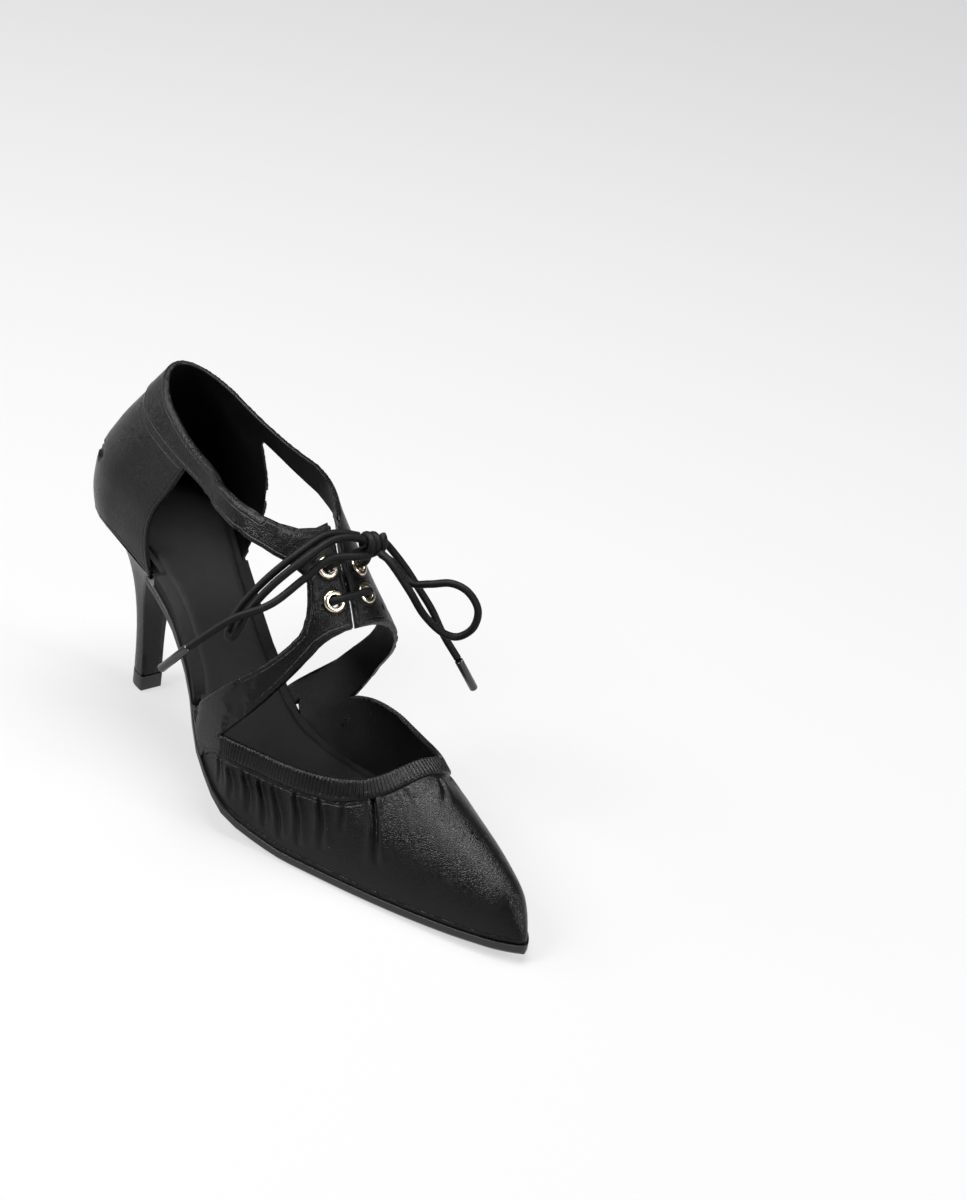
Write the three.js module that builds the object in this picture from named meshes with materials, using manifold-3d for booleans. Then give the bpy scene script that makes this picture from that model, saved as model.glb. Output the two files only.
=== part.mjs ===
// Lace-up pump for the right foot, with side windows and a slim covered heel.
// Millimetres. X runs to the toe, Y to the inner side of the foot, Z up.
// The origin is at the centre of the heel's floor face.
import * as THREE from 'three';
import { mergeVertices } from 'three/addons/utils/BufferGeometryUtils.js';
import Module from 'manifold-3d';

const wasm = await Module();
wasm.setup();

// Driving sizes
const length = 242.5;
const ballWidth = 66;
const heelHeight = 75;
const instepHeight = 104;
const toeSpring = 3.2;
const wall = 1.3;
const overlay = 0.7;
const soleThickness = 3.5;
const soleRim = 0.8;
const insoleThickness = 4;
const clearance = 0.3;
const toeRound = 11;
const heelRound = 30;
const gatherWidth = 7;
const panelGap = 1.2;
const eyeletBore = 4.4;
const eyeletOuter = 8;
const eyeletLip = 0.8;
const eyeletWall = 0.5;
const eyeletSpread = 13.6;
const laceDiameter = 2.8;
const agletDiameter = 3.2;
const agletLength = 16;
const topPieceHeight = 6;
const heelTipLength = 10;
const heelTipWidth = 9.5;
const heelTipBack = 20;
const heelBreast = 57;
const tread = soleThickness + clearance;

// Sections of the last. lateral and medial are half widths as shares of the ball width,
// seat is the share of the heel height, spring of the toe spring, ridge of the instep height,
// square is the power of the section's curve, and waist is how far the medial feather line
// draws in below the side, as a share of the ball width.
const sections = [
  { along: 0.00, lateral: 0.39, medial: 0.385, seat: 1, spring: 0, ridge: 1.46, square: 2.3, waist: 0 },
  { along: 0.06, lateral: 0.39, medial: 0.385, seat: 0.977, spring: 0, ridge: 1.46, square: 2.3, waist: 0 },
  { along: 0.12, lateral: 0.39, medial: 0.386, seat: 0.95, spring: 0, ridge: 1.46, square: 2.3, waist: 0.01 },
  { along: 0.20, lateral: 0.395, medial: 0.386, seat: 0.9, spring: 0, ridge: 1.46, square: 2.3, waist: 0.11 },
  { along: 0.30, lateral: 0.405, medial: 0.379, seat: 0.765, spring: 0, ridge: 1.44, square: 2.3, waist: 0.24 },
  { along: 0.38, lateral: 0.448, medial: 0.371, seat: 0.56, spring: 0, ridge: 1.38, square: 2.4, waist: 0.285 },
  { along: 0.46, lateral: 0.54, medial: 0.41, seat: 0.28, spring: 0, ridge: 1.16, square: 2.4, waist: 0.275 },
  { along: 0.52, lateral: 0.552, medial: 0.47, seat: 0.12, spring: 0, ridge: 1, square: 2.3, waist: 0.18 },
  { along: 0.58, lateral: 0.482, medial: 0.515, seat: 0.032, spring: 0, ridge: 0.84, square: 2.2, waist: 0.07 },
  { along: 0.65, lateral: 0.404, medial: 0.505, seat: 0, spring: 0, ridge: 0.63, square: 2.1, waist: 0 },
  { along: 0.73, lateral: 0.314, medial: 0.458, seat: 0, spring: 0, ridge: 0.445, square: 2.0, waist: 0 },
  { along: 0.82, lateral: 0.208, medial: 0.395, seat: 0, spring: 0.14, ridge: 0.36, square: 2.0, waist: 0 },
  { along: 0.91, lateral: 0.086, medial: 0.302, seat: 0, spring: 0.44, ridge: 0.276, square: 2.1, waist: 0 },
  { along: 0.97, lateral: -0.01, medial: 0.214, seat: 0, spring: 0.80, ridge: 0.204, square: 2.2, waist: 0 },
  { along: 1.00, lateral: -0.06, medial: 0.158, seat: 0, spring: 1.00, ridge: 0.14, square: 2.2, waist: 0 },
];

// Heel cup: how far it leans forward and draws in at each height above the seat
const backCurve = [
  { up: 0.00, lean: 0.000, narrow: 0.00 },
  { up: 0.08, lean: -0.006, narrow: -0.02 },
  { up: 0.16, lean: -0.004, narrow: -0.01 },
  { up: 0.29, lean: 0.024, narrow: 0.10 },
  { up: 0.43, lean: 0.070, narrow: 0.25 },
  { up: 0.58, lean: 0.122, narrow: 0.40 },
  { up: 0.87, lean: 0.212, narrow: 0.54 },
];
const leanReach = 0.375;
const waistRise = 32;
const easeStart = 0.03;

// Shape-keeping cubic through a table's rows, flat where the rows are level
function smooth(rows, from, to) {
  const x = rows.map((row) => row[from]);
  const y = rows.map((row) => row[to]);
  const step = x.slice(1).map((value, i) => value - x[i]);
  const slope = step.map((value, i) => (y[i + 1] - y[i]) / value);
  const tangent = x.map((_, i) => {
    if (i === 0) return slope[0];
    if (i === x.length - 1) return slope[i - 1];
    if (slope[i - 1] * slope[i] <= 0) return 0;
    const before = 2 * step[i] + step[i - 1];
    const after = step[i] + 2 * step[i - 1];
    return (before + after) / (before / slope[i - 1] + after / slope[i]);
  });
  return (at) => {
    let i = 0;
    while (i < step.length - 1 && at > x[i + 1]) i += 1;
    const t = Math.min(Math.max((at - x[i]) / step[i], 0), 1);
    const rise = t * t * (3 - 2 * t);
    const curve = y[i] * (1 - rise) + y[i + 1] * rise;
    const bend = tangent[i] * t * (1 - t) * (1 - t) - tangent[i + 1] * t * t * (1 - t);
    return curve + bend * step[i];
  };
}

const column = {};
for (const name of ['lateral', 'medial', 'seat', 'spring', 'ridge', 'square', 'waist']) {
  column[name] = smooth(sections, 'along', name);
}
const lean = smooth(backCurve, 'up', 'lean');
const narrow = smooth(backCurve, 'up', 'narrow');

// Height of the feather line, where upper, insole and sole meet
function featherAt(x) {
  const share = Math.min(Math.max(x / length, 0), 1);
  return tread + column.seat(share) * heelHeight + column.spring(share) * toeSpring;
}

// Falls from 1 to 0 along a quarter circle as the distance past its start goes from 0 to 1
function roundOff(past) {
  const reach = Math.min(Math.max(past, 0), 1);
  return Math.sqrt(1 - reach * reach);
}

// Half widths, centre line and height of the last at one station, closed round at the toe
function sectionAt(x) {
  const share = Math.min(Math.max(x / length, 0), 1);
  const lateral = column.lateral(share) * ballWidth;
  const medial = column.medial(share) * ballWidth;
  const feather = featherAt(x);
  const toe = roundOff((x - (length - toeRound)) / toeRound);
  const heel = roundOff((heelRound - x) / heelRound);
  return {
    centre: (medial - lateral) / 2,
    half: ((lateral + medial) / 2) * toe * heel,
    feather,
    height: (column.ridge(share) * instepHeight - feather) * toe,
    square: column.square(share),
    tuck: column.waist(share) * ballWidth,
  };
}

// The heel cup's curve fades out towards the waist
function cupAt(x, above) {
  const fade = Math.max(0, 1 - x / (leanReach * length));
  const up = above / instepHeight;
  const ease = (fade * fade * (2 - fade) * (1 + easeStart)) / (fade + easeStart);
  return { forward: fade * length * lean(up), draw: 1 - ease * narrow(up) };
}

// A point of the last: turn 0 is the lateral feather line, half a turn the medial one
function lastPoint(x, turn) {
  const { centre, half, feather, height, square, tuck } = sectionAt(x);
  const across = Math.cos(turn);
  const up = Math.pow(Math.abs(Math.sin(turn)), 2 / square);
  const out = Math.sign(across) * Math.pow(Math.abs(across), 2 / square);
  const above = height * up;
  const { forward, draw } = cupAt(x, above);
  const low = across < 0 ? Math.max(0, 1 - above / waistRise) : 0;
  return new THREE.Vector3(x + forward, centre - half * draw * out - tuck * low * low, feather + above);
}

function lastNormal(x, turn) {
  const dx = 0.5;
  const dt = 0.03;
  const ahead = lastPoint(Math.min(x + dx, length - 0.2), turn);
  const behind = lastPoint(Math.max(x - dx, 0.2), turn);
  const after = lastPoint(x, Math.min(turn + dt, Math.PI));
  const before = lastPoint(x, Math.max(turn - dt, 0));
  const along = ahead.sub(behind);
  const around = after.sub(before);
  return along.cross(around).normalize();
}

function offsetPoint(x, turn, offset) {
  const point = lastPoint(x, turn);
  if (x <= 0) return point.add(new THREE.Vector3(-offset, 0, 0));
  if (x >= length) return point.add(new THREE.Vector3(offset, 0, 0));
  return point.addScaledVector(lastNormal(x, turn), offset);
}

// Where the last's surface lies over a spot seen from above
function surfaceOver(x, y, offset) {
  const { centre, half, square } = sectionAt(x);
  const share = Math.min(Math.abs(centre - y) / half, 1);
  const quarter = Math.acos(Math.pow(share, square / 2));
  const turn = y < centre ? quarter : Math.PI - quarter;
  return { point: offsetPoint(x, turn, offset), normal: lastNormal(x, turn) };
}

// Closed skin over rows of points, each row a closed ring
function skin(rows) {
  const positions = [];
  const index = [];
  const ring = rows[0].length;
  for (const row of rows) {
    for (const point of row) positions.push(point.x, point.y, point.z);
  }
  for (let i = 0; i < rows.length - 1; i += 1) {
    for (let j = 0; j < ring; j += 1) {
      const a = i * ring + j;
      const b = i * ring + ((j + 1) % ring);
      index.push(a, b + ring, b, a, a + ring, b + ring);
    }
  }
  const geometry = new THREE.BufferGeometry();
  geometry.setAttribute('position', new THREE.Float32BufferAttribute(positions, 3));
  geometry.setIndex(index);
  return geometry;
}

// Flat end faces for a skin whose end rings are convex
function capped(rows, start, end) {
  const geometry = skin(rows);
  const index = Array.from(geometry.getIndex().array);
  const ring = rows[0].length;
  const last = (rows.length - 1) * ring;
  for (let j = 1; j < ring - 1; j += 1) {
    if (start) index.push(0, j, j + 1);
    if (end) index.push(last, last + j + 1, last + j);
  }
  geometry.setIndex(index);
  return geometry;
}

// A closed mesh as a solid for joining and cutting, and back again
function solid(geometry) {
  const bare = geometry.clone();
  bare.deleteAttribute('normal');
  bare.deleteAttribute('uv');
  const merged = mergeVertices(bare, 1e-4);
  const corners = Array.from(merged.getIndex().array);
  const faces = [];
  for (let i = 0; i < corners.length; i += 3) {
    const [a, b, c] = corners.slice(i, i + 3);
    if (a !== b && b !== c && c !== a) faces.push(a, b, c);
  }
  return new wasm.Manifold(new wasm.Mesh({
    numProp: 3,
    vertProperties: new Float32Array(merged.getAttribute('position').array),
    triVerts: new Uint32Array(faces),
  }));
}

function geometryOf(manifold) {
  const mesh = manifold.getMesh();
  const geometry = new THREE.BufferGeometry();
  geometry.setAttribute('position', new THREE.BufferAttribute(new Float32Array(mesh.vertProperties), 3));
  geometry.setIndex(new THREE.BufferAttribute(new Uint32Array(mesh.triVerts), 1));
  return geometry;
}

// The last grown by an offset and carried down below the floor, as one closed body
const stations = 36;
const around = 20;
const under = -30;
function lastBody(offset) {
  const rows = [];
  for (let i = 0; i <= stations; i += 1) {
    const x = (length * (1 - Math.cos((Math.PI * i) / stations))) / 2;
    const row = [];
    for (let j = 0; j <= around; j += 1) {
      row.push(offsetPoint(x, (Math.PI * j) / around, offset));
    }
    const first = row[0];
    const end = row[around];
    row.push(new THREE.Vector3(end.x, end.y, under));
    row.push(new THREE.Vector3(first.x, first.y, under));
    rows.push(row);
  }
  return solid(skin(rows));
}

// Edge lines of the upper in side view: along as share of the length, up of the instep height
const lines = {
  topline: [
    { along: -0.06, up: 1.378 }, { along: 0.06, up: 1.372 }, { along: 0.09, up: 1.350 },
    { along: 0.13, up: 1.300 }, { along: 0.18, up: 1.242 }, { along: 0.24, up: 1.190 },
    { along: 0.30, up: 1.160 }, { along: 0.37, up: 1.140 }, { along: 0.43, up: 1.118 },
    { along: 0.47, up: 1.090 }, { along: 0.50, up: 1.065 }, { along: 0.53, up: 1.040 },
  ],
  bandLower: [
    { along: -0.06, up: 1.256 }, { along: 0.03, up: 1.248 }, { along: 0.06, up: 1.233 },
    { along: 0.09, up: 1.207 }, { along: 0.12, up: 1.177 }, { along: 0.16, up: 1.145 },
    { along: 0.20, up: 1.121 }, { along: 0.25, up: 1.100 },
  ],
  lateralStrapLower: [
    { along: 0.31, up: 1.080 }, { along: 0.37, up: 1.063 }, { along: 0.43, up: 1.043 },
    { along: 0.475, up: 1.019 }, { along: 0.508, up: 0.992 },
  ],
  medialStrapLower: [
    { along: 0.32, up: 1.062 }, { along: 0.39, up: 1.025 }, { along: 0.44, up: 0.990 },
    { along: 0.475, up: 0.957 }, { along: 0.498, up: 0.930 },
  ],
  lateralCounterFront: [
    { along: 0.262, up: 1.080 }, { along: 0.246, up: 0.985 }, { along: 0.231, up: 0.920 },
    { along: 0.223, up: 0.850 }, { along: 0.224, up: 0.780 }, { along: 0.234, up: 0.700 },
    { along: 0.262, up: 0.560 },
  ],
  medialCounterFront: [
    { along: 0.230, up: 1.085 }, { along: 0.234, up: 0.960 }, { along: 0.238, up: 0.840 },
    { along: 0.242, up: 0.730 }, { along: 0.252, up: 0.560 },
  ],
  lateralPanelRear: [
    { along: 0.508, up: 0.992 }, { along: 0.536, up: 0.950 }, { along: 0.553, up: 0.888 },
    { along: 0.567, up: 0.810 }, { along: 0.565, up: 0.745 }, { along: 0.542, up: 0.650 },
    { along: 0.490, up: 0.525 }, { along: 0.440, up: 0.400 }, { along: 0.410, up: 0.300 },
  ],
  medialPanelRear: [
    { along: 0.498, up: 0.930 }, { along: 0.520, up: 0.897 }, { along: 0.535, up: 0.840 },
    { along: 0.540, up: 0.780 }, { along: 0.530, up: 0.700 }, { along: 0.505, up: 0.610 },
    { along: 0.472, up: 0.520 }, { along: 0.446, up: 0.435 }, { along: 0.431, up: 0.385 },
    { along: 0.421, up: 0.340 }, { along: 0.416, up: 0.300 },
  ],
  lateralStrapFront: [
    { along: 0.610, up: 0.830 }, { along: 0.592, up: 0.780 }, { along: 0.585, up: 0.690 },
    { along: 0.572, up: 0.600 }, { along: 0.545, up: 0.480 }, { along: 0.500, up: 0.340 },
    { along: 0.470, up: 0.240 }, { along: 0.450, up: 0.150 },
  ],
  medialStrapFront: [
    { along: 0.610, up: 0.830 }, { along: 0.592, up: 0.780 }, { along: 0.572, up: 0.670 },
    { along: 0.548, up: 0.575 }, { along: 0.518, up: 0.475 }, { along: 0.494, up: 0.360 },
    { along: 0.475, up: 0.270 }, { along: 0.455, up: 0.150 },
  ],
  lateralThroat: [
    { along: 0.475, up: 0.310 }, { along: 0.495, up: 0.345 }, { along: 0.530, up: 0.362 },
    { along: 0.600, up: 0.350 }, { along: 0.660, up: 0.352 }, { along: 0.705, up: 0.368 },
    { along: 0.726, up: 0.392 }, { along: 0.740, up: 0.430 }, { along: 0.750, up: 0.500 },
  ],
  medialThroat: [
    { along: 0.475, up: 0.320 }, { along: 0.495, up: 0.345 }, { along: 0.530, up: 0.352 },
    { along: 0.600, up: 0.330 }, { along: 0.660, up: 0.330 }, { along: 0.700, up: 0.350 },
    { along: 0.726, up: 0.392 }, { along: 0.740, up: 0.430 }, { along: 0.750, up: 0.500 },
  ],
};

function line(name, drop = 0) {
  return lines[name].map(({ along, up }) => new THREE.Vector2(along * length, up * instepHeight - drop));
}

// The feather line in side view, from one share of the length to another
function featherLine(from, to, count) {
  const points = [];
  for (let i = 0; i <= count; i += 1) {
    const x = length * (from + ((to - from) * i) / count);
    points.push(new THREE.Vector2(x, featherAt(x)));
  }
  return points;
}

// A side view region, cut through one half of the shoe
const sideReach = ballWidth * 1.5;
function region(parts, side) {
  const outline = new THREE.Shape();
  outline.moveTo(parts[0][0].x, parts[0][0].y);
  for (const part of parts) {
    outline.lineTo(part[0].x, part[0].y);
    if (part.length > 2) outline.splineThru(part.slice(1));
    else if (part.length === 2) outline.lineTo(part[1].x, part[1].y);
  }
  const settings = { depth: sideReach, bevelEnabled: false, curveSegments: 2 };
  const geometry = new THREE.ExtrudeGeometry(outline, settings);
  geometry.rotateX(Math.PI / 2);
  if (side === 'medial') geometry.translate(0, sideReach, 0);
  return solid(geometry);
}

const backwards = (points) => points.slice().reverse();
const spot = (along, up) => [new THREE.Vector2(along * length, up * instepHeight)];

// Spots outside the shoe, or under the strap, that close the side view regions
const behind = -0.1;
const beyond = 1.1;
const below = -0.1;
const counterBack = { along: -0.06, up: 0.5 };
const vampFront = 0.5;
const vampRear = 0.40;
const panelTop = { along: 0.63, up: 1.0 };

// Upper: a thin wall for counter and vamp, a thicker one for collar, straps and gathered band
const inside = lastBody(0);
const thin = lastBody(wall).subtract(inside);
const thick = lastBody(wall + overlay).subtract(inside);
const eyeletHole = eyeletBore / 2 + eyeletWall + clearance;
const eyeletRows = [
  { level: 'lower', along: 0.565, shift: 0 },
  { level: 'upper', along: 0.534, shift: 0.24 },
];
const eyelets = [];
for (const { level, along, shift } of eyeletRows) {
  for (const [side, sign] of [['lateral', -1], ['medial', 1]]) {
    const x = along * length;
    const y = sectionAt(x).centre + (sign / 2 + shift) * eyeletSpread;
    eyelets.push({ side, level, ...surfaceOver(x, y, wall + overlay) });
  }
}

// Each half is a thin wall for the covered parts and a thick one for the overlays
const bandLap = 4;
function upperSide(side) {
  const counter = region([
    line('bandLower', -bandLap),
    line(`${side}CounterFront`),
    spot(counterBack.along, counterBack.up),
  ], side);
  const vamp = region([
    line(`${side}Throat`),
    spot(beyond, vampFront),
    spot(beyond, below),
    spot(vampRear, below),
  ], side);
  const strap = region([
    line('topline'),
    spot(panelTop.along, panelTop.up),
    line(`${side}StrapFront`),
    backwards(line(`${side}PanelRear`)),
    backwards(line('bandLower').concat(line(`${side}StrapLower`))),
  ], side);
  const gather = region([
    line(`${side}Throat`),
    backwards(line(`${side}Throat`, gatherWidth)),
  ], side);
  const body = thin.intersect(counter.add(vamp));
  return body.add(thick.intersect(strap.add(gather)));
}

// Everything over the feather line
const featherSteps = 60;
const overhead = 2 * instepHeight;
function aboveFeather() {
  const points = featherLine(behind, beyond, featherSteps);
  points.push(new THREE.Vector2(beyond * length, overhead));
  points.push(new THREE.Vector2(behind * length, overhead));
  const settings = { depth: 2 * sideReach, bevelEnabled: false };
  const geometry = new THREE.ExtrudeGeometry(new THREE.Shape(points), settings);
  geometry.rotateX(Math.PI / 2);
  geometry.translate(0, sideReach, 0);
  return solid(geometry);
}

// The gap between the eyelet panels, slanted as the upper eyelets are and flared at the collar
const slotSpan = { from: 0.44, to: 0.64, steps: 12 };
const flare = { from: 0.520, reach: 0.03, width: 1.2 };
const [lowerRow, upperRow] = eyeletRows;
const slotSlant = (upperRow.shift * eyeletSpread) / ((upperRow.along - lowerRow.along) * length);
function slot() {
  const { from, to, steps } = slotSpan;
  const outline = new THREE.Shape();
  const edge = (sign) => {
    const points = [];
    for (let i = 0; i <= steps; i += 1) {
      const x = length * (from + ((to - from) * i) / steps);
      const drift = (x - length * lowerRow.along) * slotSlant;
      const opened = Math.min(Math.max((flare.from - x / length) / flare.reach, 0), 1);
      const open = flare.width * opened * opened;
      points.push(new THREE.Vector2(x, sectionAt(x).centre + drift + sign * (panelGap / 2 + open)));
    }
    return points;
  };
  outline.setFromPoints(edge(-1).concat(edge(1).reverse()));
  return solid(new THREE.ExtrudeGeometry(outline, { depth: overhead, bevelEnabled: false }));
}

const drillLength = 6 * (wall + overlay);
const drillSides = 16;
function eyeletCutter({ point, normal }) {
  const drill = new THREE.CylinderGeometry(eyeletHole, eyeletHole, drillLength, drillSides);
  const turn = new THREE.Quaternion().setFromUnitVectors(new THREE.Vector3(0, 1, 0), normal);
  drill.applyQuaternion(turn);
  drill.translate(point.x, point.y, point.z);
  return solid(drill);
}

let upper = upperSide('lateral').add(upperSide('medial')).intersect(aboveFeather()).subtract(slot());
for (const eyelet of eyelets) upper = upper.subtract(eyeletCutter(eyelet));

// Plan outline of what follows the last's feather edge, grown outwards and rounded at the toe
function edgeAt(x, out) {
  const straight = length - toeRound;
  const on = x < straight ? x : straight + ((x - straight) * toeRound) / (toeRound + out);
  const { centre, half, tuck } = sectionAt(on);
  const toe = roundOff((on - (length - toeRound)) / toeRound);
  const reach = half + out * toe;
  return { lateral: centre - reach, medial: centre + reach - tuck, top: featherAt(on) };
}

// Outsole: from the heel breast over the arch to the toe, its edge rounded below
const soleStart = heelBreast + clearance;
const soleOut = wall + soleRim;
const soleBevel = 1;
const soleStations = 44;
function outsole() {
  const rows = [];
  const end = length + soleOut;
  for (let i = 0; i <= soleStations; i += 1) {
    const x = soleStart + (end - soleStart) * Math.sin((Math.PI * i) / (2 * soleStations));
    const { lateral, medial, top } = edgeAt(x, soleOut);
    const upperFace = top - clearance;
    const lowerFace = upperFace - soleThickness;
    const bevel = Math.min(soleBevel, (medial - lateral) / 4);
    rows.push([
      new THREE.Vector3(x, lateral + bevel, lowerFace),
      new THREE.Vector3(x, lateral, lowerFace + soleBevel),
      new THREE.Vector3(x, lateral, upperFace),
      new THREE.Vector3(x, medial, upperFace),
      new THREE.Vector3(x, medial, lowerFace + soleBevel),
      new THREE.Vector3(x, medial - bevel, lowerFace),
    ]);
  }
  return capped(rows, true, false);
}

// Insole: wrapped board, inside the wall at heel and vamp and out to the edge at the windows
const insoleInset = 1.4;
const windows = {
  lateral: { from: 0.252, to: 0.416 },
  medial: { from: 0.262, to: 0.419 },
};
const insoleSpan = { start: 0.006, end: 0.985, stations: 40 };
const shoulder = 0.002;
const insoleTip = 0.5;
function insole() {
  const { start, end, stations: count } = insoleSpan;
  const stops = [];
  for (let i = 0; i <= count; i += 1) {
    stops.push(start + ((end - start) * (1 - Math.cos((Math.PI * i) / count))) / 2);
  }
  for (const { from, to } of Object.values(windows)) stops.push(from, from + shoulder, to - shoulder, to);
  stops.sort((a, b) => a - b);
  const reach = (share, side) => {
    const { from, to } = windows[side];
    const open = share > from + shoulder / 2 && share < to - shoulder / 2;
    return open ? wall : -insoleInset;
  };
  return capped(stops.map((share) => {
    const x = share * length;
    const { centre, half, feather, tuck } = sectionAt(x);
    const lateral = centre - Math.max(half + reach(share, 'lateral'), insoleTip);
    const medial = centre + Math.max(half + reach(share, 'medial'), insoleTip) - tuck;
    const top = feather + insoleThickness;
    return [
      new THREE.Vector3(x, lateral, feather),
      new THREE.Vector3(x, lateral, top),
      new THREE.Vector3(x, medial, top),
      new THREE.Vector3(x, medial, feather),
    ];
  }), true, true);
}

// Heel: from the seat's outline down to the tip. Each column says how far back line, breast
// and half width have gone from the seat's size to the tip's.
const heelSections = [
  { down: 0.00, back: 0.00, front: 0.00, half: 0.00 },
  { down: 0.05, back: 0.05, front: 0.13, half: 0.14 },
  { down: 0.12, back: 0.20, front: 0.38, half: 0.38 },
  { down: 0.20, back: 0.38, front: 0.66, half: 0.60 },
  { down: 0.32, back: 0.62, front: 0.92, half: 0.79 },
  { down: 0.50, back: 0.86, front: 1.04, half: 0.92 },
  { down: 0.75, back: 0.99, front: 1.04, half: 0.99 },
  { down: 1.00, back: 1.00, front: 1.00, half: 1.00 },
];
const heelSpan = 14;
const tipSquare = 0.8;
function heel() {
  const tipFront = heelTipBack + heelTipLength;
  const base = topPieceHeight + clearance;
  return capped(heelSections.slice().reverse().map(({ down, back, front, half }) => {
    const ring = [];
    for (let j = 0; j <= heelSpan; j += 1) {
      const angle = Math.PI * (j / heelSpan - 0.5);
      const seatX = heelBreast * (1 - Math.cos(angle));
      const seatEdge = edgeAt(seatX, wall);
      const seatY = j < heelSpan / 2 ? seatEdge.lateral : seatEdge.medial;
      const seat = j === heelSpan / 2 ? 0 : seatY;
      const frontX = heelBreast + (tipFront - heelBreast) * front;
      const backX = heelTipBack * back;
      const x = frontX - (frontX - backX) * Math.cos(angle);
      const tip = Math.sign(angle) * (heelTipWidth / 2) * Math.pow(Math.abs(Math.sin(angle)), tipSquare);
      const y = seat + (tip - seat) * half;
      const top = featherAt(seatX) - clearance;
      ring.push(new THREE.Vector3(x, y, top + (base - top) * down));
    }
    return ring;
  }), true, true);
}

function topPiece() {
  const outline = new THREE.Shape();
  const points = [];
  for (let j = 0; j <= heelSpan; j += 1) {
    const angle = Math.PI * (j / heelSpan - 0.5);
    const across = Math.sign(angle) * Math.pow(Math.abs(Math.sin(angle)), tipSquare);
    const along = heelTipBack + heelTipLength * (1 - Math.cos(angle));
    points.push(new THREE.Vector2(along, (across * heelTipWidth) / 2));
  }
  outline.setFromPoints(points);
  return new THREE.ExtrudeGeometry(outline, { depth: topPieceHeight, bevelEnabled: false });
}

// Eyelets: a ring over the leather with a barrel through its hole
const eyeletSides = 20;
function eyeletRing({ point, normal }) {
  const bore = eyeletBore / 2;
  const barrel = bore + eyeletWall;
  const outer = eyeletOuter / 2;
  const depth = -(wall + overlay + clearance);
  const profile = [
    [bore, depth], [barrel, depth], [barrel, clearance], [outer, clearance],
    [outer, clearance + eyeletLip / 2], [outer - eyeletLip / 2, clearance + eyeletLip],
    [bore, clearance + eyeletLip], [bore, depth],
  ].map(([x, y]) => new THREE.Vector2(x, y));
  const ring = new THREE.LatheGeometry(profile, eyeletSides);
  ring.applyQuaternion(new THREE.Quaternion().setFromUnitVectors(new THREE.Vector3(0, 1, 0), normal));
  ring.translate(point.x, point.y, point.z);
  return ring;
}

// Lace. Its bow hangs where these points put it: along is a share of the length, across of the
// ball width, up of the instep height. The lateral loop is pulled flat, so it runs out and back.
const cordSides = 8;
const knotAt = { along: 0.5567, across: 0.1515, up: 1.0510 };
const laceRoutes = {
  loop_lateral: [
    { along: 0.560, across: 0.082, up: 1.078 }, { along: 0.556, across: 0.000, up: 1.093 },
    { along: 0.553, across: -0.114, up: 1.093 }, { along: 0.550, across: -0.265, up: 1.045 },
    { along: 0.532, across: -0.424, up: 0.940 }, { along: 0.519, across: -0.523, up: 0.839 },
    { along: 0.510, across: -0.583, up: 0.757 }, { along: 0.501, across: -0.523, up: 0.839 },
    { along: 0.515, across: -0.424, up: 0.940 }, { along: 0.532, across: -0.265, up: 1.045 },
    { along: 0.535, across: -0.114, up: 1.093 }, { along: 0.539, across: 0.000, up: 1.091 },
    { along: 0.544, across: 0.091, up: 1.076 },
  ],
  end_lateral: [
    { along: 0.571, across: 0.097, up: 1.026 }, { along: 0.572, across: 0.015, up: 1.036 },
    { along: 0.560, across: -0.136, up: 1.034 }, { along: 0.550, across: -0.273, up: 0.963 },
    { along: 0.546, across: -0.455, up: 0.892 }, { along: 0.514, across: -0.606, up: 0.821 },
    { along: 0.488, across: -0.697, up: 0.740 }, { along: 0.472, across: -0.742, up: 0.690 },
  ],
  loop_medial: [
    { along: 0.563, across: 0.206, up: 1.012 }, { along: 0.571, across: 0.273, up: 0.980 },
    { along: 0.599, across: 0.333, up: 0.925 }, { along: 0.626, across: 0.379, up: 0.944 },
    { along: 0.654, across: 0.439, up: 0.969 }, { along: 0.677, across: 0.485, up: 0.956 },
    { along: 0.695, across: 0.515, up: 0.903 }, { along: 0.695, across: 0.500, up: 0.836 },
    { along: 0.678, across: 0.455, up: 0.789 }, { along: 0.665, across: 0.394, up: 0.798 },
    { along: 0.647, across: 0.303, up: 0.856 }, { along: 0.632, across: 0.212, up: 0.950 },
    { along: 0.596, across: 0.161, up: 1.028 }, { along: 0.579, across: 0.155, up: 1.039 },
  ],
  end_medial: [
    { along: 0.544, across: 0.218, up: 1.053 }, { along: 0.536, across: 0.311, up: 1.017 },
    { along: 0.555, across: 0.424, up: 0.926 }, { along: 0.574, across: 0.485, up: 0.855 },
    { along: 0.600, across: 0.515, up: 0.797 }, { along: 0.623, across: 0.545, up: 0.725 },
    { along: 0.654, across: 0.576, up: 0.658 },
  ],
};
const laceSteps = { loop_lateral: 40, end_lateral: 16, loop_medial: 28, end_medial: 14 };
const agletEnds = {
  lateral: { along: 0.423, across: -0.815, up: 0.540 },
  medial: { along: 0.658, across: 0.712, up: 0.532 },
};

function placed({ along, across, up }) {
  return new THREE.Vector3(along * length, across * ballWidth, up * instepHeight);
}

// A round cord along a smooth curve through its points
function cordTube(points, steps) {
  const section = new THREE.Shape();
  const corners = [];
  for (let i = 0; i < cordSides; i += 1) {
    const angle = (2 * Math.PI * i) / cordSides;
    corners.push(new THREE.Vector2(Math.cos(angle), Math.sin(angle)).multiplyScalar(laceDiameter / 2));
  }
  section.setFromPoints(corners);
  const extrudePath = new THREE.CatmullRomCurve3(points, false, 'centripetal');
  return new THREE.ExtrudeGeometry(section, { steps, extrudePath, bevelEnabled: false });
}

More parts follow.
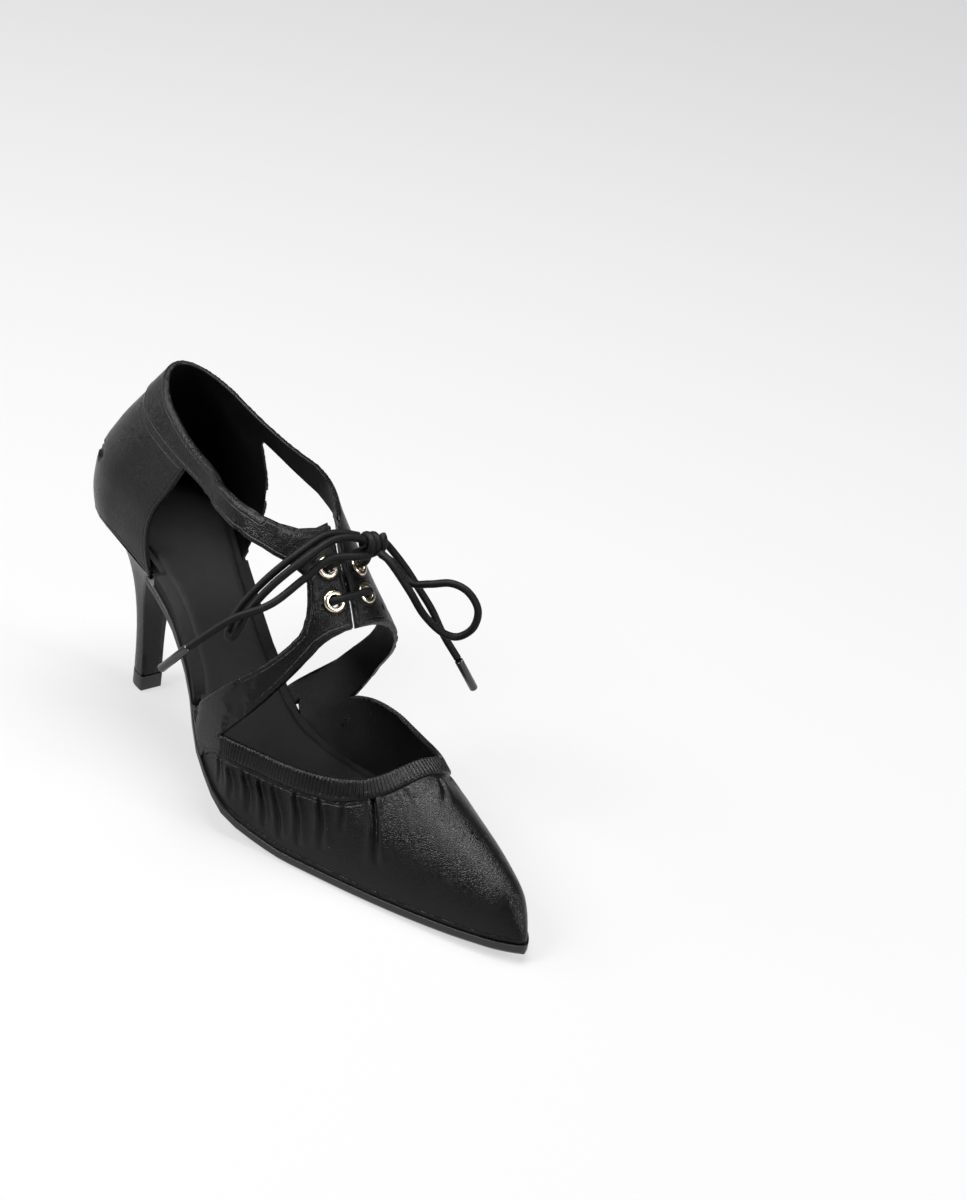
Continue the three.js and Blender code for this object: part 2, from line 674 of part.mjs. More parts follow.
// How far along an eyelet's axis the lace stays clear of ring, barrel and leather
const laceOver = eyeletLip + laceDiameter / 2 + 4 * clearance;
const laceUnder = -(wall + overlay + laceDiameter / 2 + 3 * clearance);
const laceStop = 0.4;
const laceBend = 2.2;
const barSteps = 21;
function onAxis({ point, normal }, height, towards, shift = 0) {
  const step = towards ? towards.point.clone().sub(point).setLength(shift) : new THREE.Vector3();
  return point.clone().addScaledVector(normal, height).add(step);
}

// Half of the lacing: in at an upper eyelet, across underneath, out at the opposite lower one
// and over to the middle of the bar between the lower pair
function halfBars(side, other) {
  const pick = (at, level) => eyelets.find((eyelet) => eyelet.side === at && eyelet.level === level);
  const start = pick(side, 'upper');
  const turn = pick(other, 'lower');
  const mate = pick(side, 'lower');
  const middle = onAxis(turn, laceOver).add(onAxis(mate, laceOver)).divideScalar(2);
  const past = onAxis(mate, laceOver).sub(onAxis(turn, laceOver)).setLength(clearance);
  return cordTube([
    onAxis(start, laceStop),
    onAxis(start, laceStop - laceBend),
    onAxis(start, laceUnder + clearance),
    onAxis(start, laceUnder, turn, laceBend),
    onAxis(turn, laceUnder, start, laceBend),
    onAxis(turn, laceUnder + clearance),
    onAxis(turn, laceStop - laceBend),
    onAxis(turn, laceOver - laceBend / 3),
    onAxis(turn, laceOver + clearance, mate, laceBend),
    middle.add(past),
  ], barSteps);
}

// The knot, with a riser down to each upper eyelet that ends inside it
const knotRadii = new THREE.Vector3(5, 4.6, 4.4);
const knotGrid = { around: 14, rows: 9 };
const riserSteps = 6;
const riserEnd = 0.2;
const riserStop = laceStop + clearance + laceDiameter / 4;
function laceKnot() {
  const ball = new THREE.SphereGeometry(1, knotGrid.around, knotGrid.rows);
  ball.scale(knotRadii.x, knotRadii.y, knotRadii.z);
  const centre = placed(knotAt);
  ball.translate(centre.x, centre.y, centre.z);
  let knot = solid(ball);
  for (const eyelet of eyelets.filter(({ level }) => level === 'upper')) {
    const foot = onAxis(eyelet, riserStop);
    const bend = onAxis(eyelet, riserStop + laceBend);
    const into = centre.clone().lerp(bend, riserEnd);
    knot = knot.add(solid(cordTube([foot, bend, into], riserSteps)));
  }
  return knot;
}

const agletGap = 3 * clearance;
const agletSides = 12;
function aglet(side) {
  const route = laceRoutes[`end_${side}`];
  const from = placed(route[route.length - 1]);
  const direction = placed(agletEnds[side]).sub(from).normalize();
  const tube = new THREE.CylinderGeometry(agletDiameter / 2, agletDiameter / 2, agletLength, agletSides);
  tube.applyQuaternion(new THREE.Quaternion().setFromUnitVectors(new THREE.Vector3(0, 1, 0), direction));
  const middle = from.addScaledVector(direction, agletLength / 2 + agletGap);
  tube.translate(middle.x, middle.y, middle.z);
  return tube;
}

const shoe = new THREE.Group();
const originX = heelTipBack + heelTipLength / 2;
shoe.position.set(-originX, 0, 0);
function add(name, geometry, color, roughness, metalness = 0) {
  const mesh = new THREE.Mesh(geometry, new THREE.MeshStandardMaterial({ color, roughness, metalness }));
  mesh.name = name;
  shoe.add(mesh);
  return mesh;
}

const leather = 0x1a1a1c;
const soleBlack = 0x141415;
const sockBlack = 0x171718;
const rubberBlack = 0x101010;
const paleGold = 0xd9c9a3;
const cordBlack = 0x131314;
const agletBlack = 0x101012;
add('upper', geometryOf(upper), leather, 0.45);
add('outsole', outsole(), soleBlack, 0.5);
add('insole', insole(), sockBlack, 0.6);
add('heel', heel(), leather, 0.4);
add('top_piece', topPiece(), rubberBlack, 0.7);
for (const eyelet of eyelets) {
  add(`eyelet_${eyelet.side}_${eyelet.level}`, eyeletRing(eyelet), paleGold, 0.25, 1);
}
const bars = solid(halfBars('lateral', 'medial')).add(solid(halfBars('medial', 'lateral')));
add('lace_bars', geometryOf(bars), cordBlack, 0.55);
add('lace_knot', geometryOf(laceKnot()), cordBlack, 0.55);
for (const [name, route] of Object.entries(laceRoutes)) {
  add(`lace_${name}`, cordTube(route.map(placed), laceSteps[name]), cordBlack, 0.55);
}
for (const side of ['lateral', 'medial']) add(`aglet_${side}`, aglet(side), agletBlack, 0.2);

export default shoe;
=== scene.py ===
import math

import bmesh
import bpy
import numpy as np
from mathutils import Matrix, Vector
from mathutils.kdtree import KDTree


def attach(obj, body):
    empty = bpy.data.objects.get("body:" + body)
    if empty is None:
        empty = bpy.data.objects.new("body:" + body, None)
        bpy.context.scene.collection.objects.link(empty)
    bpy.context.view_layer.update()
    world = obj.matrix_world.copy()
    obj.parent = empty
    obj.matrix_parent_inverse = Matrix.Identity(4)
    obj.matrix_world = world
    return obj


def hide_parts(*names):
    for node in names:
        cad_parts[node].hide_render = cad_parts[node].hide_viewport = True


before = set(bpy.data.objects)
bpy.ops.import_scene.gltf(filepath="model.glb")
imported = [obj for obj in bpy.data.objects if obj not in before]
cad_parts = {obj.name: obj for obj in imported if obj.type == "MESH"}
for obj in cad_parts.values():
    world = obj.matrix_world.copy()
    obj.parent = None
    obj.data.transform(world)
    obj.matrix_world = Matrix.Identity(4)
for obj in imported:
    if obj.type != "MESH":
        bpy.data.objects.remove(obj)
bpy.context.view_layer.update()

# Camera: a long lens above the toe side, three quarters from the front, tilted as in the
# photograph. The shoe fills most of the upright frame.
AZIMUTH, ELEVATION, ROLL = math.radians(44.7), math.radians(25.9), math.radians(9.6)
AIM = Vector((0.0023, 0.1786, 0.0))
AWAY = 1.103
back = Vector((math.sin(AZIMUTH) * math.cos(ELEVATION), -math.cos(AZIMUTH) * math.cos(ELEVATION),
               math.sin(ELEVATION)))
level = Vector((math.cos(AZIMUTH), math.sin(AZIMUTH), 0.0))
above = back.cross(level)
right = level * math.cos(ROLL) + above * math.sin(ROLL)
up = above * math.cos(ROLL) - level * math.sin(ROLL)
bpy.ops.object.select_all(action="DESELECT")
bpy.ops.object.camera_add()
camera = bpy.context.object
camera.name = "camera"
camera.data.lens = 75
camera.data.clip_end = 20
camera.matrix_world = Matrix.Translation(AIM + back * AWAY) @ Matrix(
    (right, up, back)).transposed().to_4x4()
bpy.context.scene.camera = camera


# Studio: the shoe stands on pale paper under one broad lamp overhead. Weaker lamps at the heel,
# the toe and the outer side draw long soft highlights on the black leather.
def new_material(name, color, roughness):
    """A plain material with one shader, and that shader."""
    material = bpy.data.materials.new(name)
    material.use_nodes = True
    shader = material.node_tree.nodes["Principled BSDF"]
    shader.inputs["Base Color"].default_value = (*color, 1)
    shader.inputs["Roughness"].default_value = roughness
    return material, shader


PAPER_SIZE = 60
PAPER_DROP = 0.0004
bpy.ops.mesh.primitive_plane_add(size=PAPER_SIZE, location=(0, 0, -PAPER_DROP))
paper = bpy.context.object
paper.name = "paper_floor"
paper_finish, paper_shader = new_material("pale_paper", (0.12, 0.12, 0.12), 0.9)
paper_shader.inputs["Emission Color"].default_value = (1, 1, 1, 1)
paper_shader.inputs["Emission Strength"].default_value = 0.60
paper.data.materials.append(paper_finish)

LAMP_AIM = Vector((0.1, 0, 0.05))
LAMPS = [
    ("lamp_overhead", (0.02, 0.05, 1.40), 0.85, 34),
    ("lamp_heel_side", (-1.1, -0.9, 0.95), 0.50, 12),
    ("lamp_toe_side", (1.3, 0.5, 0.75), 0.45, 14),
    ("lamp_outer_side", (-0.15, -1.10, 1.20), 0.70, 30),
]
for name, place, size, watts in LAMPS:
    bpy.ops.object.light_add(type="AREA", location=place)
    lamp = bpy.context.object
    lamp.name = name
    lamp.data.size = size
    lamp.data.energy = watts
    lamp.rotation_euler = (LAMP_AIM - Vector(place)).to_track_quat("-Z", "Y").to_euler()
world = bpy.data.worlds.new("studio_air")
bpy.context.scene.world = world
world.use_nodes = True
world.node_tree.nodes["Background"].inputs["Color"].default_value = (1, 1, 1, 1)
world.node_tree.nodes["Background"].inputs["Strength"].default_value = 0.05
bpy.context.scene.view_settings.view_transform = "Standard"


# Upper: one shell of black nappa leather, drawn over a last and doubled at collar and straps.
# The last is worked out again here, so that the cut wall can be refined on its true curves.
MM = 0.001
LENGTH, BALL, INSTEP, HEEL, SPRING, TREAD = 242.5, 66.0, 104.0, 75.0, 3.2, 3.8
TOE_ROUND, HEEL_ROUND, LEAN_REACH, WAIST_RISE = 11.0, 30.0, 0.375, 32.0
ORIGIN_X, EASE_START = 25.0, 0.03
WALL, OVERLAY = 1.3, 0.7
SECTION_NAMES = ("along", "lateral", "medial", "seat", "spring", "ridge", "square", "waist")
SECTIONS = [
    (0.00, 0.390, 0.385, 1.000, 0.00, 1.460, 2.3, 0.000),
    (0.06, 0.390, 0.385, 0.977, 0.00, 1.460, 2.3, 0.000),
    (0.12, 0.390, 0.386, 0.950, 0.00, 1.460, 2.3, 0.010),
    (0.20, 0.395, 0.386, 0.900, 0.00, 1.460, 2.3, 0.110),
    (0.30, 0.405, 0.379, 0.765, 0.00, 1.440, 2.3, 0.240),
    (0.38, 0.448, 0.371, 0.560, 0.00, 1.380, 2.4, 0.285),
    (0.46, 0.540, 0.410, 0.280, 0.00, 1.160, 2.4, 0.275),
    (0.52, 0.552, 0.470, 0.120, 0.00, 1.000, 2.3, 0.180),
    (0.58, 0.482, 0.515, 0.032, 0.00, 0.840, 2.2, 0.070),
    (0.65, 0.404, 0.505, 0.000, 0.00, 0.630, 2.1, 0.000),
    (0.73, 0.314, 0.458, 0.000, 0.00, 0.445, 2.0, 0.000),
    (0.82, 0.208, 0.395, 0.000, 0.14, 0.360, 2.0, 0.000),
    (0.91, 0.086, 0.302, 0.000, 0.44, 0.276, 2.1, 0.000),
    (0.97, -0.010, 0.214, 0.000, 0.80, 0.204, 2.2, 0.000),
    (1.00, -0.060, 0.158, 0.000, 1.00, 0.140, 2.2, 0.000),
]
BACK_CURVE = [
    (0.00, 0.000, 0.00), (0.08, -0.006, -0.02), (0.16, -0.004, -0.01), (0.29, 0.024, 0.10),
    (0.43, 0.070, 0.25), (0.58, 0.122, 0.40), (0.87, 0.212, 0.54),
]


def smooth(x, y):
    """A cubic through the rows that never overshoots them."""
    x, y = np.array(x), np.array(y)
    step = np.diff(x)
    slope = np.diff(y) / step
    tangent = np.zeros(len(x))
    tangent[0], tangent[-1] = slope[0], slope[-1]
    for i in range(1, len(x) - 1):
        if slope[i - 1] * slope[i] > 0:
            before, after = 2 * step[i] + step[i - 1], step[i] + 2 * step[i - 1]
            tangent[i] = (before + after) / (before / slope[i - 1] + after / slope[i])

    def curve(at):
        at = np.asarray(at, float)
        i = np.clip(np.searchsorted(x, at, side="right") - 1, 0, len(step) - 1)
        t = np.clip((at - x[i]) / step[i], 0, 1)
        rise = t * t * (3 - 2 * t)
        bend = tangent[i] * t * (1 - t) ** 2 - tangent[i + 1] * t * t * (1 - t)
        return y[i] * (1 - rise) + y[i + 1] * rise + bend * step[i]
    return curve


rows = list(zip(*SECTIONS))
column = {name: smooth(rows[0], values) for name, values in zip(SECTION_NAMES, rows)}
back_rows = list(zip(*BACK_CURVE))
lean, narrow = smooth(back_rows[0], back_rows[1]), smooth(back_rows[0], back_rows[2])


def round_off(past):
    """A quarter circle's fall from one to nothing."""
    return np.sqrt(1 - np.clip(past, 0, 1) ** 2)


def feather_at(x):
    """How high the last's lower edge lies above the floor."""
    share = np.clip(x / LENGTH, 0, 1)
    return TREAD + column["seat"](share) * HEEL + column["spring"](share) * SPRING


def section_at(x):
    """The last's centre, half width, lower edge, height, squareness and waist tuck at a station."""
    share = np.clip(x / LENGTH, 0, 1)
    lateral, medial = column["lateral"](share) * BALL, column["medial"](share) * BALL
    feather = feather_at(x)
    toe = round_off((x - (LENGTH - TOE_ROUND)) / TOE_ROUND)
    heel = round_off((HEEL_ROUND - x) / HEEL_ROUND)
    return ((medial - lateral) / 2, (lateral + medial) / 2 * toe * heel, feather,
            (column["ridge"](share) * INSTEP - feather) * toe, column["square"](share),
            column["waist"](share) * BALL)


def cup_at(x, over):
    """How far the heel's back leans forward and how much of the width is left there."""
    fade = np.maximum(0, 1 - x / (LEAN_REACH * LENGTH))
    ease = fade * fade * (2 - fade) * (1 + EASE_START) / (fade + EASE_START)
    return fade * LENGTH * lean(over / INSTEP), 1 - ease * narrow(over / INSTEP)


def last_point(x, turn):
    """The last's surface at a station, turning from the outer side over the top to the inner."""
    centre, half, feather, height, square, tuck = section_at(x)
    across = np.cos(turn)
    over = height * np.abs(np.sin(turn)) ** (2 / square)
    out = np.sign(across) * np.abs(across) ** (2 / square)
    forward, draw = cup_at(x, over)
    low = np.where(across < 0, np.maximum(0, 1 - over / WAIST_RISE), 0)
    return np.stack([x + forward, centre - half * draw * out - tuck * low * low, feather + over], -1)


def level_of(points, in_cup):
    """Zero on the last's surface, rising outwards; in_cup picks the way round the heel."""
    x, y, z = points.T
    base = x
    for _ in range(4):
        tilt = lean(np.maximum(z - feather_at(base), 0) / INSTEP)
        base = np.where(x < LEAN_REACH * LENGTH, (x - LENGTH * tilt) / (1 - tilt / LEAN_REACH), x)
    share = np.clip(base / LENGTH, 0, 1)
    lateral, medial = column["lateral"](share) * BALL, column["medial"](share) * BALL
    centre, half, square = (medial - lateral) / 2, (lateral + medial) / 2, column["square"](share)
    over = np.maximum(z - feather_at(base), 0)
    _, draw = cup_at(base, over)
    low = np.where(y > centre, np.maximum(0, 1 - over / WAIST_RISE), 0)
    out = np.abs(centre - column["waist"](share) * BALL * low * low - y) / (half * draw)
    rise = over / (column["ridge"](share) * INSTEP - feather_at(base))
    toe_past = np.maximum((base - (LENGTH - TOE_ROUND)) / TOE_ROUND, 0)
    heel_past = np.maximum((HEEL_ROUND - base) / HEEL_ROUND, 0)
    body = np.hypot((out ** square + rise ** square) ** (1 / square), toe_past) - 1
    narrowed = (1 - np.minimum(rise, 0.995) ** square) ** (1 / square)
    cup = np.hypot(out / narrowed, heel_past) - 1
    return np.where(in_cup, cup, body), base < HEEL_ROUND


def on_last(points):
    """The nearest spot of the last, the way out of it there, and how far out each point is."""
    foot = points.copy()
    step = 0.02
    for turn in range(8):
        _, in_cup = level_of(foot, False)
        level, _ = level_of(foot, in_cup)
        slope = np.stack([(level_of(foot + step * axis, in_cup)[0] - level) / step
                          for axis in np.eye(3)], -1)
        foot = foot - slope * (level / (slope ** 2).sum(-1))[:, None]
        outward = slope / np.linalg.norm(slope, axis=-1, keepdims=True)
        if turn in (3, 5):
            # The spot is brought straight under its point again.
            apart = points - foot
            foot = foot + apart - outward * (apart * outward).sum(-1)[:, None]
    return foot, outward, ((points - foot) * outward).sum(-1)


def to_shoe(points):
    """Millimetres from the counter's back to metres in the part's frame."""
    moved = np.array(points, float)
    moved[..., 0] -= ORIGIN_X
    return moved * MM


def from_shoe(mesh):
    """A mesh's points in millimetres from the counter's back."""
    flat = np.empty(len(mesh.vertices) * 3)
    mesh.vertices.foreach_get("co", flat)
    points = flat.reshape(-1, 3) / MM
    points[:, 0] += ORIGIN_X
    return points


def copy_of(node, name):
    """A merged copy of a CAD node to shape further, the only thing selected."""
    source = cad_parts[node]
    piece = bpy.data.objects.new(name, source.data.copy())
    bpy.context.collection.objects.link(piece)
    piece.data.materials.clear()
    bpy.ops.object.select_all(action="DESELECT")
    piece.select_set(True)
    bpy.context.view_layer.objects.active = piece
    bpy.ops.object.mode_set(mode="EDIT")
    bpy.ops.mesh.select_all(action="SELECT")
    bpy.ops.mesh.remove_doubles(threshold=1e-5)
    bpy.ops.object.mode_set(mode="OBJECT")
    return piece


def tree_of(spots):
    """A tree that finds the nearest of these spots."""
    tree = KDTree(len(spots))
    for i, spot in enumerate(spots):
        tree.insert(spot, i)
    tree.balance()
    return tree


def split_long_edges(piece, limit_at):
    """Halves the edges that are longer than their place allows, until none is left."""
    mesh = bmesh.new()
    mesh.from_mesh(piece.data)
    for _ in range(7):
        long = [edge for edge in mesh.edges
                if edge.calc_length() > limit_at((edge.verts[0].co + edge.verts[1].co) / 2)]
        if not long:
            break
        bmesh.ops.subdivide_edges(mesh, edges=long, cuts=1)
        bmesh.ops.triangulate(mesh, faces=[face for face in mesh.faces if len(face.verts) > 3])
    mesh.to_mesh(piece.data)
    mesh.free()


upper = copy_of("upper", "upper_leather_shell")
RIM_ANGLE = math.radians(50)
RIM_SPACING = 0.0005
SLIVER = 3e-8
rim_finder = bmesh.new()
rim_finder.from_mesh(upper.data)
rim_spots = []
for edge in rim_finder.edges:
    if (len(edge.link_faces) == 2 and edge.calc_face_angle(0) > RIM_ANGLE
            and min(face.calc_area() for face in edge.link_faces) > SLIVER):
        a, b = edge.verts[0].co, edge.verts[1].co
        steps = max(1, int((b - a).length / RIM_SPACING))
        rim_spots += [a.lerp(b, i / steps) for i in range(steps + 1)]
rim_finder.free()
rim = tree_of(rim_spots)

# Pleats: the vamp is gathered into its band, so short folds run down from the band and fade.
# Each row gives where a fold starts and ends, its depth and its width in millimetres.
PLEATS = [
    (0.508, 0.036, 0.519, 0.010, 0.8, 1.5), (0.532, 0.042, 0.543, 0.014, 1.2, 1.7),
    (0.556, 0.056, 0.573, 0.018, 1.4, 1.8), (0.581, 0.066, 0.603, 0.016, 1.5, 1.8),
    (0.605, 0.078, 0.632, 0.018, 1.5, 1.9), (0.638, 0.106, 0.662, 0.026, 1.5, 2.0),
    (0.671, 0.146, 0.700, 0.052, 1.4, 2.1), (0.700, 0.192, 0.722, 0.128, 0.9, 2.0),
    (0.737, 0.271, 0.788, 0.098, 1.7, 2.2), (0.768, 0.367, 0.808, 0.300, 0.5, 2.4),
    (0.777, 0.545, 0.822, 0.460, 0.6, 2.4), (0.765, 0.660, 0.800, 0.740, 0.5, 2.4),
    (0.740, 0.760, 0.765, 0.850, 0.7, 2.1), (0.700, 0.850, 0.715, 0.930, 0.7, 2.0),
]


def fold_ends(row):
    """Where a fold starts and ends on the last."""
    ends = last_point(np.array([row[0], row[2]]) * LENGTH, np.array([row[1], row[3]]) * math.pi)
    return ends[0], ends[1]


def fold_relief(points, row):
    """How far one fold lifts or sinks the leather at each point."""
    start, end = fold_ends(row)
    depth, width = row[4:]
    run = end - start
    size = np.linalg.norm(run)
    share = ((points - start) @ run) / size ** 2
    apart = points - start - np.clip(share, -0.15, 1)[:, None] * run
    _, outward, _ = on_last(start[None])
    side = np.cross(run / size, outward[0])
    wide = width * (0.70 + 0.6 * np.clip(share, 0, 1))
    reach = (apart @ side) / wide + 0.25 * np.sin(5 * share)
    fade = np.clip(1 - share, 0, 1) ** 0.7 * np.clip(1 + share / 0.15, 0, 1)
    crease = -np.exp(-(reach * 2.6) ** 2)
    swell = 0.62 * np.exp(-((np.abs(reach) - 0.95) * 1.7) ** 2)
    near = np.exp(-np.maximum(np.linalg.norm(apart, axis=1) - 3 * wide, 0))
    return depth * fade * near * (crease + swell)


FOLD_STEPS = 24
fold_spots = [to_shoe(start + (end - start) * step / FOLD_STEPS)
              for start, end in map(fold_ends, PLEATS) for step in range(FOLD_STEPS + 1)]
folds = tree_of(fold_spots)

# Skin: the cut wall is split finer, most of all along the folds and the edges. Each point then
# goes back on the last's curve, at the lining's face, the wall's face or the doubled leather.
FINEST, FINE, MIDDLE, COARSE = 0.0008, 0.0011, 0.0020, 0.0032
FOLD_REACH, RIM_REACH = 0.0032, 0.0028
VAMP_FROM, VAMP_TO, VAMP_TOP = 0.095, 0.190, 0.050


def edge_limit(place):
    """The longest edge that is left at a place."""
    if folds.find(place)[2] < FOLD_REACH:
        return FINEST
    if rim.find(place)[2] < RIM_REACH:
        return FINE
    return MIDDLE if VAMP_FROM < place.x < VAMP_TO and place.z < VAMP_TOP else COARSE


split_long_edges(upper, edge_limit)
points = from_shoe(upper.data)
foot, outward, away = on_last(points)
corners = np.empty(len(upper.data.loops), np.int32)
upper.data.loops.foreach_get("vertex_index", corners)
corners = corners.reshape(-1, 3)
first, second, third = (points[corners[:, k]] for k in range(3))
facing = np.cross(second - first, third - first)
facing /= np.maximum(np.linalg.norm(facing, axis=1, keepdims=True), 1e-9)
lies = (facing * outward[corners].mean(axis=1)).sum(-1)
LIES_FLAT, CUT_FACE = 0.8, 1.2
on_skin = np.zeros(len(points), bool)
on_skin[corners[np.abs(lies) > LIES_FLAT].ravel()] = True
rim_near = np.array([rim.find(vertex.co)[2] for vertex in upper.data.vertices]) / MM
on_skin |= rim_near > CUT_FACE
LINING_BELOW, WALL_BELOW = 0.5, 1.58
skin_level = np.where(away < WALL_BELOW, WALL, WALL + OVERLAY)
skin_level = np.where(away < LINING_BELOW, 0.0, skin_level)

# Collar step: round the heel the collar's lower line says which face is doubled, since the
# last's curve is steep there. Its rows give stations and heights as shares.
BAND_LOWER = [
    (-0.06, 1.256), (0.03, 1.248), (0.06, 1.233), (0.09, 1.207), (0.12, 1.177), (0.16, 1.145),
    (0.20, 1.121), (0.25, 1.100),
]
HEEL_SHARE, STEP_HALF = 0.21, 0.6
over_band = points[:, 2] - np.interp(points[:, 0] / LENGTH, *zip(*BAND_LOWER)) * INSTEP
round_heel = points[:, 0] < HEEL_SHARE * LENGTH
round_heel &= away > LINING_BELOW
round_heel &= np.abs(over_band) > STEP_HALF
skin_level = np.where(round_heel, np.where(over_band > 0, WALL + OVERLAY, WALL), skin_level)
skin_level = np.where(on_skin, skin_level, away)
raised = skin_level > WALL + 0.3
relief = np.zeros(len(points))
for row in PLEATS:
    relief += fold_relief(foot, row)

EDGE_ROUND, EDGE_DROP = 0.8, 0.32
PUFF, PUFF_AT, PUFF_WIDTH = 0.10, 1.1, 0.55
SOLE_CLEAR, SOLE_BLEND, FARTHEST = 0.3, 2.5, 2.6
edge_drop = -EDGE_DROP * np.clip(1 - rim_near / EDGE_ROUND, 0, 1) ** 2
puff = PUFF * np.exp(-((rim_near - PUFF_AT) / PUFF_WIDTH) ** 2) * raised
fade_in = np.clip((rim_near - 0.2) / 2.0, 0, 1)
shift = relief * fade_in + np.where(skin_level > 1, edge_drop + puff, 0)
placed = foot + outward * (skin_level + shift)[:, None]
over_sole = points[:, 2] - feather_at(points[:, 0])
over_sole = np.clip((over_sole - SOLE_CLEAR) / SOLE_BLEND, 0, 1)[:, None]
placed = placed * over_sole + points * (1 - over_sole)
far = np.linalg.norm(placed - points, axis=1) > FARTHEST
placed[far] = points[far]
upper.data.vertices.foreach_set("co", to_shoe(placed).ravel())
upper.data.update()
EDGE_READ_TO = 12
edge_mm = upper.data.attributes.new("edge_mm", "FLOAT", "POINT")
edge_mm.data.foreach_set("value", np.minimum(rim_near, EDGE_READ_TO).astype(np.float32))
bpy.ops.object.shade_smooth_by_angle(angle=math.radians(48))


# Leather: black dyed nappa with a satin finish. A fine pebble shows in the highlights, and
# gloss and tone vary a little over the hide.
def new_group(name, sockets):
    """An empty node group with number sockets, its input node and its output node."""
    group = bpy.data.node_groups.new(name, "ShaderNodeTree")
    for socket, way in sockets:
        group.interface.new_socket(name=socket, in_out=way, socket_type="NodeSocketFloat")
    return group, group.nodes.new("NodeGroupInput"), group.nodes.new("NodeGroupOutput")


def leather_grain():
    """Pebbles as a height, and a slow mottle."""
    group, inside, outside = new_group("leather_grain", (
        ("Cell Size", "INPUT"), ("Depth", "INPUT"), ("Height", "OUTPUT"), ("Mottle", "OUTPUT")))
    nodes, links = group.nodes, group.links
    place = nodes.new("ShaderNodeTexCoord")
    warp = nodes.new("ShaderNodeTexNoise")
    warp.inputs["Scale"].default_value = 420
    blend = nodes.new("ShaderNodeMix")
    blend.data_type = "VECTOR"
    blend.inputs["Factor"].default_value = 0.0012
    links.new(place.outputs["Object"], warp.inputs["Vector"])
    links.new(place.outputs["Object"], blend.inputs["A"])
    links.new(warp.outputs["Color"], blend.inputs["B"])
    cells = nodes.new("ShaderNodeTexVoronoi")
    cells.feature = "DISTANCE_TO_EDGE"
    links.new(blend.outputs["Result"], cells.inputs["Vector"])
    links.new(inside.outputs["Cell Size"], cells.inputs["Scale"])
    pebble = nodes.new("ShaderNodeMapRange")
    pebble.inputs["From Max"].default_value = 0.28
    links.new(cells.outputs["Distance"], pebble.inputs["Value"])
    deep = nodes.new("ShaderNodeMath")
    deep.operation = "MULTIPLY"
    links.new(pebble.outputs["Result"], deep.inputs[0])
    links.new(inside.outputs["Depth"], deep.inputs[1])
    links.new(deep.outputs[0], outside.inputs["Height"])
    mottle = nodes.new("ShaderNodeTexNoise")
    mottle.inputs["Scale"].default_value = 95
    mottle.inputs["Detail"].default_value = 5
    links.new(place.outputs["Object"], mottle.inputs["Vector"])
    links.new(mottle.outputs["Fac"], outside.inputs["Mottle"])
    return group


grain = leather_grain()


def edge_finish():
    """Reads how far the nearest cut edge is, for the sewn groove beside it."""
    group, inside, outside = new_group("edge_finish", (
        ("Groove Distance", "INPUT"), ("Groove Width", "INPUT"), ("Groove", "OUTPUT")))
    nodes, links = group.nodes, group.links
    reader = nodes.new("ShaderNodeAttribute")
    reader.attribute_name = "edge_mm"
    apart = nodes.new("ShaderNodeMath")
    apart.operation = "SUBTRACT"
    links.new(reader.outputs["Fac"], apart.inputs[0])
    links.new(inside.outputs["Groove Distance"], apart.inputs[1])
    size = nodes.new("ShaderNodeMath")
    size.operation = "ABSOLUTE"
    links.new(apart.outputs[0], size.inputs[0])
    groove = nodes.new("ShaderNodeMapRange")
    groove.interpolation_type = "SMOOTHSTEP"
    links.new(size.outputs[0], groove.inputs["Value"])
    links.new(inside.outputs["Groove Width"], groove.inputs["From Max"])
    links.new(groove.outputs["Result"], outside.inputs["Groove"])
    return group


sewn_edges = edge_finish()


def leather(name, color, rough_low, rough_high, cell, depth):
    """A dyed leather with its grain, its gloss between two roughnesses and its varied tone."""
    material, shader = new_material(name, color, (rough_low + rough_high) / 2)
    shader.inputs["Specular IOR Level"].default_value = 0.19
    nodes, links = material.node_tree.nodes, material.node_tree.links
    surface = nodes.new("ShaderNodeGroup")
    surface.node_tree = grain
    surface.inputs["Cell Size"].default_value = cell
    surface.inputs["Depth"].default_value = depth
    bump = nodes.new("ShaderNodeBump")
    bump.inputs["Strength"].default_value = 0.28
    bump.inputs["Distance"].default_value = 0.0003
    links.new(surface.outputs["Height"], bump.inputs["Height"])
    links.new(bump.outputs["Normal"], shader.inputs["Normal"])
    sheen = nodes.new("ShaderNodeMapRange")
    sheen.inputs["From Min"].default_value = 0.3
    sheen.inputs["From Max"].default_value = 0.7
    sheen.inputs["To Min"].default_value = rough_low
    sheen.inputs["To Max"].default_value = rough_high
    links.new(surface.outputs["Mottle"], sheen.inputs["Value"])
    links.new(sheen.outputs["Result"], shader.inputs["Roughness"])
    ramp = nodes.new("ShaderNodeMix")
    ramp.data_type = "RGBA"
    ramp.inputs["A"].default_value = (*[part * 0.75 for part in color], 1)
    ramp.inputs["B"].default_value = (*[part * 1.3 for part in color], 1)
    links.new(surface.outputs["Mottle"], ramp.inputs["Factor"])
    links.new(ramp.outputs["Result"], shader.inputs["Base Color"])
    return material


